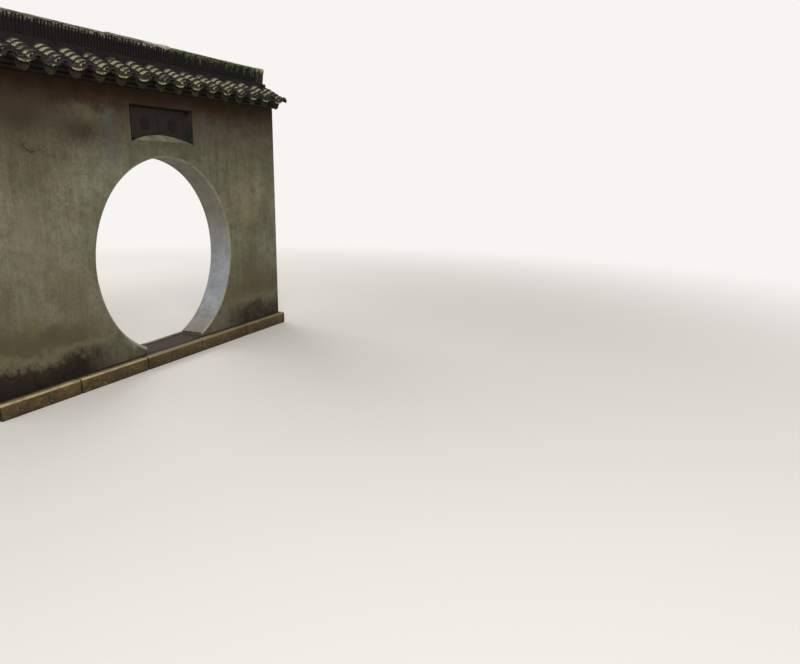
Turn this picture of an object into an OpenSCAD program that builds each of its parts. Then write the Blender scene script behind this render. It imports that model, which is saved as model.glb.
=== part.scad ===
/* [Wall] */
// Thickness of the brick core
core_t = 270; // [210:5:400]
// Thickness of the lime plaster on each face
plaster_t = 18; // [10:1:30]
// Height of the brick wall above the plaque's niche
over_niche_h = 154; // [110:2:400]
// Height above the opening's centre at which the wall is split
split_rise = 800; // [700:10:860]

/* [Round opening] */
// Radius of the round opening
gate_r = 1050; // [920:10:1200]
// Height above the ground at which the full circle would have its lowest point
gate_low = 94; // [70:2:110]
// How far the opening's centre is right of the wall's middle
gate_x = 100; // [-100:10:140]
// How far the left foot is cut off from the opening's centre
tip_left = 480; // [430:10:560]
// How far the right foot is cut off from the opening's centre
tip_right = 434; // [404:10:564]
// Thickness of the render that lines the opening
lining_t = 35; // [28:1:60]
// Radius of the worn edge round the opening
arris_r = 18; // [6:1:24]

/* [Kerb and threshold] */
// Height of the kerb and the threshold above the ground
kerb_h = 145; // [110:5:165]
// How far the kerb stands out from the plaster
kerb_out = 100; // [80:2:180]
// Length of one kerb stone with its joint
kerb_len = 880; // [800:10:900]
// Place of the kerb joint left of the opening's centre
kerb_joint_x = -570; // [-700:10:-540]
// Width of a kerb joint
joint_w = 9; // [4:1:14]
// Radius of the worn top edge of the stones
stone_edge_r = 20; // [8:1:30]
// How far the threshold runs under each foot tip
threshold_seat = 70; // [40:5:120]

/* [Name plaque] */
// Width of the plaque's niche
niche_w = 944; // [860:4:1000]
// Height of the niche's lower edge above the top of the opening
niche_rise = 128; // [110:2:140]
// Height of the niche
niche_h = 386; // [340:2:400]
// Depth of the niche from the plaster face
niche_d = 84; // [70:2:110]
// Thickness of the plaster that lines the niche
niche_t = 12; // [8:1:16]
// Width of one plaque brick
plaque_w = 400; // [340:5:410]
// Height of one plaque brick
plaque_h = 306; // [280:2:330]
// Thickness of a plaque brick
plaque_t = 30; // [22:1:38]
// Width of the joint between the plaque bricks
plaque_joint = 8; // [4:1:14]
// Width of the raised border of a plaque brick
border_w = 22; // [14:1:32]
// How deep the field of a plaque brick is sunk
field_d = 6; // [3:0.5:10]
// Radius of the carved rosette
rosette_r = 74; // [50:1:90]
// Width of the brick ring round the opening that carries the sill
ring_w = 231; // [210:1:240]
// Height of the sill's front edge above the niche's lower edge
sill_lip = 29; // [15:1:40]

/* [Eaves] */
// Height of one corbel course
corbel_h = 34; // [28:1:50]
// How far each corbel course steps out
corbel_step = 55; // [35:1:70]
// How far the tiles' eave stands out from the plaster
eave_out = 200; // [180:5:240]
// Pitch of the roof in degrees
roof_pitch = 26; // [22:0.5:30]
// Height of the roof bed at the corbel's edge
bed_lip = 24; // [14:1:40]

/* [Roof tiles] */
// Number of pan rows along the wall
pan_rows = 16; // [16:1:20]
// Way from one row of pans to the next
tile_pitch = 262; // [254:1:272]
// Length of wall past the last row at each end
verge_w = 90; // [84:1:130]
// Radius of a pan tile's underside
pan_r = 160; // [150:1:175]
// Thickness of a pan tile
pan_t = 13; // [10:1:15]
// Number of tiles from the eave to the ridge
laps = 5; // [3:1:6]
// Height that each tile gains by lying on the one below it
lap_rise = 4; // [2:0.5:6]
// Half width of a pan tile
pan_half = 110; // [100:1:114]
// Outer radius of a cover tile
cover_r = 90; // [84:1:96]
// Thickness of a cover tile
cover_t = 12; // [9:1:14]
// Half width of a cover tile
cover_half = 75; // [70:1:80]
// Gap that the mortar fills between tile and tile
seat_gap = 0.4; // [0.2:0.1:1]
// Height of a drip tile's tongue
drip_h = 80; // [66:1:100]
// Half width of a drip tile's tongue
drip_half = 68; // [60:1:80]
// Thickness of the eave tiles' plates
eave_plate_t = 12; // [8:1:16]
// How far the scalloped edge of an end cover stands out
lace_out = 16; // [10:1:22]
// Radius of one scallop on an end cover
scallop_r = 13; // [10:1:16]

/* [Ridge] */
// How far the ridge stops short of the wall's ends
ridge_inset = 50; // [0:5:80]
// Width of the ridge's base course
ridge_w = 190; // [170:2:220]
// Height of the base course above the cover tiles
ridge_base_h = 24; // [8:1:60]
// Height of the upright tiles
upright_h = 162; // [130:2:190]
// Width of the upright tiles across the ridge
upright_w = 160; // [140:2:168]
// Thickness of one upright tile
upright_t = 16; // [10:1:20]
// Way from one upright tile to the next
upright_pitch = 36; // [28:1:48]
// Depth to which mortar fills between the upright tiles
mortar_back = 16; // [8:1:30]
// Height of the mortar cap on the ridge
cap_h = 36; // [26:1:48]
// Height of the cap's upright sides
cap_side = 18; // [8:1:24]
// Length of each ridge end block
ridge_end_len = 190; // [150:5:240]
// Rise of the ridge end's nose
nose_rise = 4; // [0:1:50]
// Left end of the mended length of the cap
mend_x0 = -460; // [-600:10:-300]
// Right end of the mended length of the cap
mend_x1 = 70; // [-100:10:200]

/* [Hidden] */
$fn = 96;
eps = 1;
// Overlap that fuses the tiles of a row into one solid
seam = 0.02;

wall_len = pan_rows * tile_pitch + 2 * verge_w;
half_len = wall_len / 2;
wall_t = core_t + 2 * plaster_t;
face_y = wall_t / 2;
core_y = core_t / 2;
gate_z = gate_low + gate_r;
niche_z = gate_z + gate_r + niche_rise;
core_h = niche_z + niche_h + over_niche_h;
corbel_top = core_h + 2 * corbel_h;
bed_y = face_y + 2 * corbel_step;
bed_edge_z = corbel_top + bed_lip;
bed_top = bed_edge_z + bed_y * tan(roof_pitch);
eave_y = face_y + eave_out;
// Lengths down the slope, from the line where the two slopes of the bed meet
slope_eave = eave_y / cos(roof_pitch);
slope_ridge = ridge_w / 2 / cos(roof_pitch) + seat_gap;
slope_bed = bed_y / cos(roof_pitch);
function lap_s(k) = slope_eave + (slope_ridge - slope_eave) / laps * k;
pan_a = asin(pan_half / pan_r);
cover_a = asin(cover_half / cover_r);
cover_in_r = cover_r - cover_t;
pan_in_r = pan_r - pan_t;
// Height of a pan's upper side above the bed, at a distance from its middle line
function pan_top(x) = pan_r - sqrt(pan_in_r * pan_in_r - x * x);
cover_in_x = cover_in_r * sin(cover_a);
cover_c = pan_top(tile_pitch / 2 - cover_in_x) + seat_gap - cover_in_r * cos(cover_a);
cover_foot = cover_c + cover_in_r * cos(cover_a);
cover_crown = cover_c + cover_r + (laps - 1) * lap_rise;
ridge_base_z = bed_top - ridge_w / 2 * tan(roof_pitch) + cover_crown / cos(roof_pitch) + ridge_base_h;
cap_z = ridge_base_z + upright_h;
ridge_tip = half_len - ridge_inset;
ridge_half = ridge_tip - ridge_end_len;
niche_y = niche_d - face_y;
plaque_z = niche_z + niche_h - (niche_h - plaque_h) / 2 + 18;
kerb_y = face_y + kerb_out;
split_z = gate_z + split_rise;
sill_r = gate_r + ring_w;
threshold_x0 = gate_x - tip_left - threshold_seat;
threshold_x1 = gate_x + tip_right + threshold_seat;

// An outline in X and Z, made solid from y0 to y1
module across(y0, y1) {
    translate([0, y1, 0]) rotate([90, 0, 0]) linear_extrude(y1 - y0) children();
}

// A section in Y and Z, made solid from x0 to x1
module along(x0, x1) {
    translate([x0, 0, 0]) rotate([90, 0, 90]) linear_extrude(x1 - x0) children();
}

// Places a section on the front slope: its x along the wall, its y off the bed, made solid down the slope
module down_slope(s0, s1) {
    translate([0, 0, bed_top]) rotate([90 + roof_pitch, 0, 0]) translate([0, 0, s0])
        linear_extrude(s1 - s0) children();
}

// A section once for each tile of a row: $lift is how far that tile lies above the lowest one
module lapped_slope(s_end) {
    for (k = [0:laps - 1]) {
        $lift = k * lap_rise;
        s0 = lap_s(k + 1) - (k < laps - 1 ? seam : 0);
        s1 = min(lap_s(k), s_end);
        if (s1 > s0) down_slope(s0, s1) children();
    }
}

module back_side() {
    mirror([0, 1, 0]) children();
}

module sector(a, r) {
    polygon([[0, 0], [-r * sin(a), r * cos(a)], [0, 2 * r], [r * sin(a), r * cos(a)]]);
}

// The round opening with its two cut foot tips, grown by g
module opening_outline(g = 0) {
    translate([gate_x, gate_z]) circle(gate_r + g, $fn = 180);
    translate([gate_x - tip_left, -eps]) square([tip_left + tip_right, gate_z]);
}

module niche_outline(g = 0) {
    translate([gate_x - niche_w / 2 - g, niche_z - g]) square([niche_w + 2 * g, niche_h + 2 * g]);
}

// The brick wall, cut back by its end plaster above the kerb
module brick_wall() {
    difference() {
        across(-core_y, core_y) difference() {
            union() {
                translate([-half_len + plaster_t, 0]) square([wall_len - 2 * plaster_t, core_h]);
                translate([-half_len, 0]) square([wall_len, kerb_h]);
            }
            opening_outline(lining_t);
        }
        across(-core_y - eps, niche_y + niche_t) niche_outline(niche_t);
        translate([threshold_x0, -core_y - eps, -eps])
            cube([threshold_x1 - threshold_x0, core_t + 2 * eps, kerb_h + eps]);
    }
}

module brick_wall_beside(side) {
    x0 = side < 0 ? -half_len : gate_x;
    x1 = side < 0 ? gate_x : half_len;
    color("#8d8578") intersection() {
        brick_wall();
        translate([x0, -core_y, 0]) cube([x1 - x0, core_t, split_z]);
    }
}

module brick_wall_over_gate() {
    color("#8d8578") intersection() {
        brick_wall();
        translate([-half_len, -core_y, split_z]) cube([wall_len, core_t, core_h - split_z]);
    }
}

module end_plaster(side) {
    x0 = side < 0 ? -half_len : half_len - plaster_t;
    color("#9f9882") translate([x0, -core_y, kerb_h]) cube([plaster_t, core_t, core_h - kerb_h]);
}

module plaster_field(niche) {
    difference() {
        translate([-half_len, kerb_h]) square([wall_len, core_h - kerb_h]);
        opening_outline(lining_t);
        if (niche) niche_outline(niche_t);
    }
}

module front_plaster() {
    color("#a39c84") across(-face_y, -core_y) plaster_field(true);
}

module back_plaster() {
    color("#a39c84") across(core_y, face_y) plaster_field(false);
}

// A length of lining as it is swept round the opening, with both outer edges worn round
module lining_section() {
    inner = gate_r + arris_r;
    difference() {
        translate([gate_r, -face_y]) square([lining_t, wall_t]);
        for (side = [-1, 1]) {
            difference() {
                translate([gate_r - eps, side > 0 ? face_y - arris_r : -face_y - eps])
                    square([arris_r + eps, arris_r + eps]);
                translate([inner, side * (face_y - arris_r)]) circle(arris_r, $fn = 32);
            }
        }
    }
}

module opening_lining() {
    color("#b3b0a4") translate([gate_x, 0, 0]) difference() {
        translate([0, 0, gate_z]) rotate([90, 0, 0]) rotate_extrude($fn = 180) lining_section();
        translate([-tip_left, -wall_t, -2 * gate_r])
            cube([tip_left + tip_right, 2 * wall_t, 2 * gate_r + gate_z]);
        translate([-2 * gate_r, -wall_t, -2 * gate_r])
            cube([4 * gate_r, 2 * wall_t, 2 * gate_r + kerb_h]);
    }
}

// Section of a stone that stands on the ground, with one worn top edge on the outer side
module stone_section(y_in, y_out) {
    difference() {
        translate([-y_out, 0]) square([y_out - y_in, kerb_h]);
        difference() {
            translate([-y_out - eps, kerb_h - stone_edge_r])
                square([stone_edge_r + eps, stone_edge_r + eps]);
            translate([-y_out + stone_edge_r, kerb_h - stone_edge_r]) circle(stone_edge_r, $fn = 32);
        }
    }
}

module threshold_stone() {
    color("#7b6f6a") along(threshold_x0, threshold_x1) translate([-core_y, 0]) square([core_t, kerb_h]);
}

// Kerb stone i of five, from the left: the outer two run to the wall's ends
module kerb_stone(i) {
    joint_x = gate_x + kerb_joint_x + (i - 2) * kerb_len;
    x0 = i == 1 ? -half_len : joint_x - kerb_len + joint_w / 2;
    x1 = i == 5 ? half_len : joint_x - joint_w / 2;
    color("#8a7350") along(x0, x1) stone_section(core_y, kerb_y);
}

module back_kerb_stones() {
    back_side() for (i = [1:5]) kerb_stone(i);
}

module niche_lining() {
    color("#9c9480") difference() {
        across(-face_y, niche_y + niche_t) niche_outline(niche_t);
        across(-face_y - eps, niche_y) niche_outline();
    }
}

// Plaster sill over the brick ring: it slopes up from a straight lip to the ring's back
module plaque_sill() {
    depth = face_y + niche_y - plaque_t - seat_gap;
    peak = gate_z + sill_r - niche_z;
    color("#b7b39c") intersection() {
        across(-face_y, niche_y - plaque_t - seat_gap) intersection() {
            translate([gate_x, gate_z]) circle(sill_r, $fn = 180);
            niche_outline();
        }
        along(-half_len, half_len) translate([-face_y, niche_z]) polygon([
            [0, 0], [0, sill_lip], [depth, peak + seat_gap], [depth, 0]
        ]);
    }
}

// A carved flower of round petals about a raised centre
module rosette(petals) {
    petal_r = rosette_r * sin(180 / petals) * 0.86;
    ring_r = rosette_r - petal_r;
    difference() {
        for (i = [0:petals - 1]) {
            rotate(90 + 360 / petals * i) translate([ring_r, 0]) circle(petal_r, $fn = 48);
        }
        circle(rosette_r * 0.2, $fn = 48);
    }
}

module plaque_brick(side, petals) {
    middle = gate_x + side * (plaque_w + plaque_joint) / 2;
    low = plaque_z - plaque_h;
    y_face = niche_y - plaque_t;
    color("#5f534c") difference() {
        translate([middle - plaque_w / 2, y_face, low]) cube([plaque_w, plaque_t, plaque_h]);
        difference() {
            translate([middle - plaque_w / 2 + border_w, y_face - eps, low + border_w])
                cube([plaque_w - 2 * border_w, field_d + eps, plaque_h - 2 * border_w]);
            across(y_face, y_face + plaque_t) translate([middle, low + plaque_h / 2]) rosette(petals);
        }
    }
}

// Corbel courses: the lower one has a half round nose, the upper one a square nose with a cove under it
module front_corbel_lower() {
    nose = corbel_h / 2;
    color("#8f8672") along(-half_len, half_len) {
        translate([-face_y - corbel_step + nose, core_h]) square([face_y + corbel_step - nose, corbel_h]);
        translate([-face_y - corbel_step + nose, core_h + nose]) circle(nose, $fn = 48);
    }
}

module front_corbel_upper() {
    cove = corbel_h * 0.45;
    low = core_h + corbel_h;
    color("#8f8672") along(-half_len, half_len) difference() {
        translate([-bed_y, low]) square([bed_y, corbel_h]);
        translate([-bed_y, low]) circle(cove, $fn = 48);
    }
}

module roof_bed() {
    color("#8a8270") along(-half_len, half_len) polygon([
        [-bed_y, corbel_top], [bed_y, corbel_top], [bed_y, bed_edge_z], [0, bed_top], [-bed_y, bed_edge_z]
    ]);
}

// Mortar strip under the outer foot of the last cover row, on both slopes
module verge(side) {
    strip_x = pan_rows * tile_pitch / 2 + cover_in_x - cover_t;
    module strip() {
        lapped_slope(slope_bed) translate([strip_x, 0])
            square([half_len - strip_x, cover_foot - seat_gap + $lift]);
    }
    color("#8f8776") mirror([side < 0 ? 1 : 0, 0, 0]) {
        strip();
        back_side() strip();
    }
}

module pan_section() {
    intersection() {
        difference() {
            translate([0, pan_r]) circle(pan_r);
            translate([0, pan_r]) circle(pan_in_r);
        }
        translate([0, pan_r]) rotate(180) sector(pan_a, 2 * pan_r);
    }
}

module cover_section() {
    translate([0, cover_c]) intersection() {
        difference() {
            circle(cover_r);
            circle(cover_in_r);
        }
        sector(cover_a, 2 * cover_r);
    }
}

function pan_x(i) = (i - (pan_rows - 1) / 2) * tile_pitch;
function cover_x(i) = (i - pan_rows / 2) * tile_pitch;

module front_pan_rows() {
    color("#4a4a45") for (i = [0:pan_rows - 1]) {
        translate([pan_x(i), 0, 0]) lapped_slope(slope_eave) translate([0, $lift]) pan_section();
    }
}

module front_cover_rows() {
    color("#44443f") for (i = [0:pan_rows]) {
        translate([cover_x(i), 0, 0]) lapped_slope(slope_eave) translate([0, $lift]) cover_section();
    }
}

// Tongue of a drip tile: two arcs that meet in a point, cut to the pan's underside at the top
module drip_tile() {
    arc_r = (drip_half * drip_half + drip_h * drip_h) / (2 * drip_half);
    top = bed_top - eave_y * tan(roof_pitch);
    difference() {
        across(-eave_y, -eave_y + eave_plate_t) translate([0, top]) intersection() {
            translate([arc_r - drip_half, 0]) circle(arc_r);
            translate([drip_half - arc_r, 0]) circle(arc_r);
            translate([-drip_half, -drip_h - eps]) square([2 * drip_half, drip_h + pan_half]);
        }
        down_slope(0, slope_eave + pan_half) translate([0, pan_r]) circle(pan_r + seat_gap);
    }
}

module front_drip_tiles() {
    color("#55564c") for (i = [0:pan_rows - 1]) translate([pan_x(i), 0, 0]) drip_tile();
}

// Raised scalloped rim on the end of a cover row
module lace_outline() {
    rim_r = cover_r + lace_out - scallop_r;
    lobes = 5;
    intersection() {
        difference() {
            union() {
                circle(rim_r);
                for (k = [0:lobes - 1]) {
                    rotate((k - (lobes - 1) / 2) * 2 * cover_a / lobes)
                        translate([0, rim_r]) circle(scallop_r, $fn = 32);
                }
            }
            circle(cover_in_r);
        }
        sector(cover_a, 2 * cover_r);
    }
}

module front_lace_tiles() {
    color("#50514a") for (i = [0:pan_rows]) {
        translate([cover_x(i), 0, 0]) down_slope(slope_eave, slope_eave + eave_plate_t)
            translate([0, cover_c]) lace_outline();
    }
}

module ridge_base() {
    half = ridge_w / 2;
    drop = half * tan(roof_pitch);
    color("#7f7867") along(-ridge_tip, ridge_tip) polygon([
        [-half, ridge_base_z], [-half, bed_top - drop], [0, bed_top],
        [half, bed_top - drop], [half, ridge_base_z]
    ]);
}

// Tiles that stand on edge like books, held by the mortar between them
module ridge_upright_tiles() {
    count = floor(2 * ridge_half / upright_pitch);
    first = -(count - 1) / 2 * upright_pitch;
    color("#4b4b45") for (i = [0:count - 1]) {
        translate([first + i * upright_pitch - upright_t / 2, -upright_w / 2, ridge_base_z])
            cube([upright_t, upright_w, upright_h]);
    }
}

module ridge_mortar() {
    count = floor(2 * ridge_half / upright_pitch);
    first = -(count - 1) / 2 * upright_pitch;
    gap = upright_pitch - upright_t;
    half = upright_w / 2 - mortar_back;
    color("#837c6c") for (i = [0:count - 2]) {
        translate([first + i * upright_pitch + upright_t / 2, -half, ridge_base_z])
            cube([gap, 2 * half, upright_h]);
    }
}

// Mortar cap of the ridge from x0 to x1: upright sides and a rounded top, laid on as thick as its share says
module ridge_cap(x0, x1, share, proud) {
    half = upright_w / 2 + proud;
    side = cap_side * share;
    rise = cap_h * share - side;
    top_r = (half * half + rise * rise) / (2 * rise);
    along(x0, x1) intersection() {
        translate([-half, cap_z]) square([2 * half, cap_h]);
        translate([0, cap_z + side + rise - top_r]) circle(top_r);
    }
}

module ridge_end(side) {
    x0 = ridge_half + seat_gap;
    steps = 12;
    top = cap_z + cap_h;
    nose = [for (k = [0:steps]) let (u = k / steps)
        [x0 + u * (ridge_end_len - 30), top - cap_h / 3 + nose_rise * u * u]];
    color("#9a917c") mirror([side < 0 ? 1 : 0, 0, 0]) across(-upright_w / 2, upright_w / 2)
        difference() {
            polygon(concat([[x0, ridge_base_z]], nose, [
                [ridge_tip - 8, top + nose_rise - 22], [ridge_tip, top + nose_rise - 46],
                [ridge_tip - 16, top - 66], [ridge_tip - 40, ridge_base_z]
            ]));
            translate([x0 + ridge_end_len * 0.45, ridge_base_z + upright_h * 0.5]) circle(20, $fn = 48);
        }
}

brick_wall_beside(-1);  // brick_wall_left
brick_wall_beside(1);  // brick_wall_right
brick_wall_over_gate();
front_plaster();
back_plaster();
end_plaster(-1);  // left_end_plaster
end_plaster(1);  // right_end_plaster
opening_lining();
threshold_stone();
kerb_stone(1);  // front_kerb_1
kerb_stone(2);  // front_kerb_2
kerb_stone(3);  // front_kerb_3
kerb_stone(4);  // front_kerb_4
kerb_stone(5);  // front_kerb_5
back_kerb_stones();
niche_lining();
plaque_sill();
plaque_brick(-1, 5);  // plaque_brick_left
plaque_brick(1, 6);  // plaque_brick_right
front_corbel_lower();
front_corbel_upper();
back_side() front_corbel_lower();  // back_corbel_lower
back_side() front_corbel_upper();  // back_corbel_upper
roof_bed();
verge(-1);  // left_verge
verge(1);  // right_verge
front_pan_rows();
front_cover_rows();
front_drip_tiles();
front_lace_tiles();
back_side() front_pan_rows();  // back_pan_rows
back_side() front_cover_rows();  // back_cover_rows
back_side() front_drip_tiles();  // back_drip_tiles
back_side() front_lace_tiles();  // back_lace_tiles
ridge_base();
ridge_upright_tiles();
ridge_mortar();
color("#8d8676") ridge_cap(-ridge_half, mend_x0, 0.7, 6);  // ridge_cap_left
color("#b6a999") ridge_cap(mend_x0, mend_x1, 1, 14);  // ridge_cap_mended
color("#84855f") ridge_cap(mend_x1, ridge_half, 0.9, 8);  // ridge_cap_right
ridge_end(-1);  // ridge_end_left
ridge_end(1);  // ridge_end_right
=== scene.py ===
import math
import random

import bmesh
import bpy
from mathutils import Matrix, Vector, noise


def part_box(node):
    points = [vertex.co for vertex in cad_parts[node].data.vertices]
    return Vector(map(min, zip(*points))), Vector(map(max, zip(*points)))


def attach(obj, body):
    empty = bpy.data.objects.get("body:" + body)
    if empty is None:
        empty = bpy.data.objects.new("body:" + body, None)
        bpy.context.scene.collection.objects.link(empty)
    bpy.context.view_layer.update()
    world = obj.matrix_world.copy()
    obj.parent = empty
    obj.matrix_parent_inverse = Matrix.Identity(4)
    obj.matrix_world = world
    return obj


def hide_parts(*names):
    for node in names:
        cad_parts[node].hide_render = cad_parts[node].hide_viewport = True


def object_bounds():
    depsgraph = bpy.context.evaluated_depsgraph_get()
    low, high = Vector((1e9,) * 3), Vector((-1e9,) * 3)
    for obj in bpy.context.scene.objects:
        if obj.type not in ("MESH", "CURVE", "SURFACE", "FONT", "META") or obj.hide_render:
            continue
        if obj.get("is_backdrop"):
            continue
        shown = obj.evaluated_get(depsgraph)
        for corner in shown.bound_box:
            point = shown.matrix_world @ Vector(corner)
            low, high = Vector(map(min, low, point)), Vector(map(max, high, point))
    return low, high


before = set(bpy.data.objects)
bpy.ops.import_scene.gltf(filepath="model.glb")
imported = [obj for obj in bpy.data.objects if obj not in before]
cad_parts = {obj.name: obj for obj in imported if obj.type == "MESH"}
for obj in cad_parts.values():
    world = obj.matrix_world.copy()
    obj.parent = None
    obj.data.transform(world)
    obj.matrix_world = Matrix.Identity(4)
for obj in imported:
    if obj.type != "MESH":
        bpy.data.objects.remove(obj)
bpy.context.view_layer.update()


# The view: the gate is seen from the plaque's side, from well to its left and a little above
# its middle. The camera's place and angles were worked out from the round edge and the kerb.
CAMERA_IN_RADII = Vector((-5.717, -5.002, 0.8845))
CAMERA_HEAD, CAMERA_PITCH, CAMERA_ROLL = math.radians(22.772), math.radians(13.117), math.radians(0.555)
FOCAL_PIXELS, IMAGE_WIDTH, SENSOR_WIDTH = 688.16, 800, 36
LINING_T = 0.035
lining_low, lining_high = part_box("opening_lining")
gate_x = (lining_low.x + lining_high.x) / 2
gate_r = (lining_high.x - lining_low.x) / 2 - LINING_T
gate_z = lining_high.z - LINING_T - gate_r
face_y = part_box("back_plaster")[1].y
half_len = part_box("front_plaster")[1].x

ahead = Vector((math.cos(CAMERA_HEAD) * math.cos(CAMERA_PITCH),
                math.sin(CAMERA_HEAD) * math.cos(CAMERA_PITCH), -math.sin(CAMERA_PITCH)))
level_right = Vector((math.sin(CAMERA_HEAD), -math.cos(CAMERA_HEAD), 0))
level_up = level_right.cross(ahead)
right = level_right * math.cos(CAMERA_ROLL) + level_up * math.sin(CAMERA_ROLL)
up = level_up * math.cos(CAMERA_ROLL) - level_right * math.sin(CAMERA_ROLL)
camera = bpy.data.objects.new("camera", bpy.data.cameras.new("camera"))
camera.matrix_world = Matrix.Translation(Vector((gate_x, -face_y, gate_z)) + CAMERA_IN_RADII * gate_r) \
    @ Matrix((right, up, -ahead)).transposed().to_4x4()
camera.data.sensor_width = SENSOR_WIDTH
camera.data.lens = FOCAL_PIXELS / IMAGE_WIDTH * SENSOR_WIDTH
bpy.context.scene.collection.objects.link(camera)
bpy.context.scene.camera = camera
bpy.context.scene.view_settings.view_transform = "Standard"


# The studio: a plain pale floor that keeps the gate's shadow and fades into the sky's own pale
# tone, a soft sky, one large lamp from the upper left and a weaker one behind the wall.
FLOOR_COLOUR, SKY_COLOUR = "#dedbd4", "#fffdf9"
SKY_LIGHT, SKY_SEEN = 0.55, 0.93
FLOOR_HALF, FADE_START, FADE_END = 60, 4, 13
LAMPS_AIM = Vector((0, 0, 1.6))


def linear(code):
    """An sRGB hex colour as linear red, green, blue and alpha."""
    parts = [int(code[i:i + 2], 16) / 255 for i in (1, 3, 5)]
    return [p / 12.92 if p <= 0.04045 else ((p + 0.055) / 1.055) ** 2.4 for p in parts] + [1]


def add(owner, kind, inputs=(), stops=(), out=0, to=None, **settings):
    """Adds a shader node and returns one of its outputs. Inputs are values, hex colours or other nodes'
    outputs, in the order of the node's sockets or by socket. Stops are a ramp's, and to names the
    surface's input that takes the output. A Mix node mixes the colours 6 and 7 by the share 0, and a
    MapRange takes a value, the two ends of its own range and the two that they become."""
    tree = owner.node_tree
    new = tree.nodes.new("ShaderNode" + kind)
    if kind == "Mix":
        new.data_type, out = "RGBA", 2
    for key, value in settings.items():
        setattr(new, key, value)
    for key, value in inputs.items() if isinstance(inputs, dict) else enumerate(inputs):
        if isinstance(value, bpy.types.NodeSocket):
            tree.links.new(value, new.inputs[key])
        else:
            new.inputs[key].default_value = linear(value) if isinstance(value, str) else value
    for i, (place, value) in enumerate(stops):
        stop = new.color_ramp.elements[i] if i < 2 else new.color_ramp.elements.new(place)
        stop.position = place
        stop.color = linear(value) if isinstance(value, str) else (value, value, value, 1)
    if to:
        tree.links.new(new.outputs[out], tree.nodes["Principled BSDF"].inputs[to])
    return new.outputs[out]


def new_material(name, roughness, specular=0.5):
    """A material whose surface has an even roughness and gloss."""
    material = bpy.data.materials.new(name)
    material.use_nodes = True
    surface = material.node_tree.nodes["Principled BSDF"]
    surface.inputs["Roughness"].default_value = roughness
    surface.inputs["Specular IOR Level"].default_value = specular
    return material


floor_mesh = bmesh.new()
bmesh.ops.create_grid(floor_mesh, x_segments=1, y_segments=1, size=FLOOR_HALF)
floor_data = bpy.data.meshes.new("studio_floor")
floor_mesh.to_mesh(floor_data)
studio_floor = bpy.data.objects.new("studio_floor", floor_data)
bpy.context.scene.collection.objects.link(studio_floor)
studio_floor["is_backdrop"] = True
floor_paint = new_material("matt_floor_paint", 0.9)
floor_data.materials.append(floor_paint)
floor_nodes = floor_paint.node_tree.nodes
floor_nodes["Principled BSDF"].inputs["Base Color"].default_value = linear(FLOOR_COLOUR)
floor_place = add(floor_paint, "TexCoord", out="Object")
floor_way = add(floor_paint, "VectorMath", [floor_place], out="Value", operation="LENGTH")
floor_fade = add(floor_paint, "MapRange", [floor_way, FADE_START, FADE_END], interpolation_type="SMOOTHSTEP")
floor_rays = add(floor_paint, "LightPath", out="Is Camera Ray")
floor_glow = add(floor_paint, "Emission", [SKY_COLOUR, SKY_SEEN])
floor_seen = add(floor_paint, "Math", [floor_fade, floor_rays], operation="MULTIPLY")
floor_matt = floor_nodes["Principled BSDF"].outputs[0]
floor_mix = add(floor_paint, "MixShader", [floor_seen, floor_matt, floor_glow])
floor_paint.node_tree.links.new(floor_mix, floor_nodes["Material Output"].inputs[0])

sky = bpy.data.worlds.new("soft_sky")
sky.use_nodes = True
seen = add(sky, "LightPath", out="Is Camera Ray")
for rays in ("Is Glossy Ray", "Is Transmission Ray"):
    seen = add(sky, "Math", [seen, add(sky, "LightPath", out=rays)], operation="MAXIMUM")
level = add(sky, "MapRange", {"Value": seen, "To Min": SKY_LIGHT, "To Max": SKY_SEEN})
sky.node_tree.nodes["Background"].inputs["Color"].default_value = linear(SKY_COLOUR)
sky.node_tree.links.new(level, sky.node_tree.nodes["Background"].inputs["Strength"])
bpy.context.scene.world = sky

for name, place, power, size in (
        ("main_lamp", (-6.5, -6.5, 7.5), 620, 4.5), ("back_lamp", (5.5, 6.5, 6.5), 330, 5)):
    lamp = bpy.data.objects.new(name, bpy.data.lights.new(name, "AREA"))
    lamp.data.energy = power
    lamp.data.size = size
    lamp.location = place
    lamp.rotation_euler = (LAMPS_AIM - Vector(place)).to_track_quat("-Z", "Y").to_euler()
    bpy.context.scene.collection.objects.link(lamp)


# Lime plaster on the wall's two faces and ends: trowelled flat by hand, then mottled, streaked
# by rain, stained brown under the eaves and painted darker there as their shade, and damp over the kerb,
# with a pale band of salts.
PLASTER_ROUNDING = 0.007
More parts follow.
